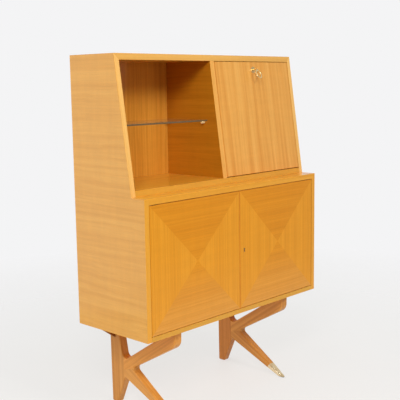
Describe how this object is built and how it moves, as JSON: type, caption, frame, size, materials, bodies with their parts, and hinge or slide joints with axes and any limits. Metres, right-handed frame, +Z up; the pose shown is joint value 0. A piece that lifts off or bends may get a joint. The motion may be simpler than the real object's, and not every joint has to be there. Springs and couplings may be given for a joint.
{
  "type": "credenza",
  "caption": "Credenza with a sloping upper case: open display bay with a glass shelf, drop-front bar flap, veneered doors below, on K-shaped wooden legs with brass front feet.",
  "frame": {"origin": "on the floor, under the middle of the case's width and depth", "axes": "+Z up, the front faces -Y, +X to the right as seen from the front"},
  "size_m": [1, 0.395, 1.376],
  "materials": {
    "case_veneer": "glossy varnished veneer",
    "back_veneer": "satin varnished plywood",
    "door_veneer": "glossy varnished veneer, four-way matched",
    "flap_veneer": "glossy varnished veneer",
    "leg_wood": "satin varnished solid wood",
    "polished_brass": "polished, lightly worn",
    "lock_steel": "plain steel",
    "screw_steel": "plain steel",
    "shelf_glass": "clear, ground edges",
    "glide_rubber": "matt"
  },
  "bodies": {
    "case": {"left_side_panel": "case_veneer", "right_side_panel": "case_veneer", "top_panel": "case_veneer", "bottom_panel": "case_veneer", "ledge_board": "case_veneer", "upper_floor": "case_veneer", "upper_divider": "case_veneer", "upper_back": "back_veneer", "lower_back": "back_veneer", "door_stop": "case_veneer", "back_screws": "screw_steel", "lower_shelf": "case_veneer", "lower_shelf_pegs": "polished_brass", "glass_shelf": "shelf_glass", "glass_shelf_pegs": "polished_brass", "flap_stop": "case_veneer", "door_hinge_plates": "polished_brass", "door_hinge_plate_screws": "screw_steel", "flap_hinge_plates": "polished_brass", "flap_hinge_plate_screws": "screw_steel", "stay_studs": "polished_brass", "flap_strike": "polished_brass", "left_leg_frame": "leg_wood", "right_leg_frame": "leg_wood", "left_rear_bracket": "leg_wood", "right_rear_bracket": "leg_wood", "left_sabot": "polished_brass", "right_sabot": "polished_brass", "sabot_glides": "glide_rubber", "rear_glides": "glide_rubber", "leg_screws": "screw_steel"},
    "left_door": {"left_door": "door_veneer", "left_door_hinge_leaves": "polished_brass", "left_door_hinge_screws": "screw_steel", "door_strike": "polished_brass", "flush_bolt_guide": "polished_brass", "flush_bolt_screws": "screw_steel"},
    "right_door": {"right_door": "door_veneer", "right_door_hinge_leaves": "polished_brass", "right_door_hinge_screws": "screw_steel", "door_lock_case": "lock_steel", "door_lock_cover": "lock_steel", "door_lock_screws": "screw_steel", "door_keyhole_liner": "polished_brass"},
    "flap": {"flap": "flap_veneer", "flap_hinge_leaves": "polished_brass", "flap_hinge_screws": "screw_steel", "stay_brackets": "polished_brass", "stay_bracket_screws": "screw_steel", "flap_lock_case": "lock_steel", "flap_lock_cover": "lock_steel", "flap_lock_screws": "screw_steel", "flap_escutcheon": "polished_brass"},
    "left_stay": {"left_stay_arm": "polished_brass"},
    "right_stay": {"right_stay_arm": "polished_brass"},
    "flap_key": {"flap_key": "polished_brass"},
    "key_bow": {"key_bow": "polished_brass"},
    "flap_bolt": {"flap_lock_bolt": "lock_steel"},
    "door_bolt": {"door_lock_bolt": "lock_steel"},
    "flush_bolt": {"flush_bolt": "polished_brass"}
  },
  "joints": [
    {"name": "left_door_hinge", "type": "hinge", "parent": "case", "child": "left_door", "pos_m": [-0.4675, -0.1855, 0.61875], "axis": [0, 0, -1], "range_deg": [0, 110]},
    {"name": "right_door_hinge", "type": "hinge", "parent": "case", "child": "right_door", "pos_m": [0.4675, -0.1855, 0.61875], "axis": [0, 0, 1], "range_deg": [0, 110]},
    {"name": "flap_hinge", "type": "hinge", "parent": "case", "child": "flap", "pos_m": [0.2445, -0.11412, 0.90994], "axis": [1, 0, 0], "range_deg": [0, 98.2]},
    {"name": "left_stay_pivot", "type": "hinge", "parent": "flap", "child": "left_stay", "pos_m": [0.01525, -0.07495, 1.02048], "axis": [1, 0, 0], "range_deg": [-49.2, 0]},
    {"name": "right_stay_pivot", "type": "hinge", "parent": "flap", "child": "right_stay", "pos_m": [0.47375, -0.07495, 1.02048], "axis": [1, 0, 0], "range_deg": [-49.2, 0]},
    {"name": "key_turn", "type": "hinge", "parent": "flap", "child": "flap_key", "pos_m": [0.2445, -0.06117, 1.31933], "axis": [0, 0.9898, -0.1427], "range_deg": [0, 180]},
    {"name": "bow_swing", "type": "hinge", "parent": "flap_key", "child": "key_bow", "pos_m": [0.2445, -0.07898, 1.3219], "axis": [-1, 0, 0], "range_deg": [0, 130]},
    {"name": "flap_bolt_slide", "type": "slide", "parent": "flap", "child": "flap_bolt", "axis": [0, 0.1427, 0.9898], "range_m": [0, 0.008]},
    {"name": "door_bolt_slide", "type": "slide", "parent": "right_door", "child": "door_bolt", "axis": [-1, 0, 0], "range_m": [0, 0.008]},
    {"name": "flush_bolt_slide", "type": "slide", "parent": "left_door", "child": "flush_bolt", "axis": [0, 0, 1], "range_m": [0, 0.01]}
  ],
  "couplings": [
    {"joint": "left_stay_pivot", "follows": "flap_hinge", "ratio": -0.5},
    {"joint": "right_stay_pivot", "follows": "flap_hinge", "ratio": -0.5},
    {"joint": "flap_bolt_slide", "follows": "key_turn", "m_per_rad": 0.002546}
  ]
}
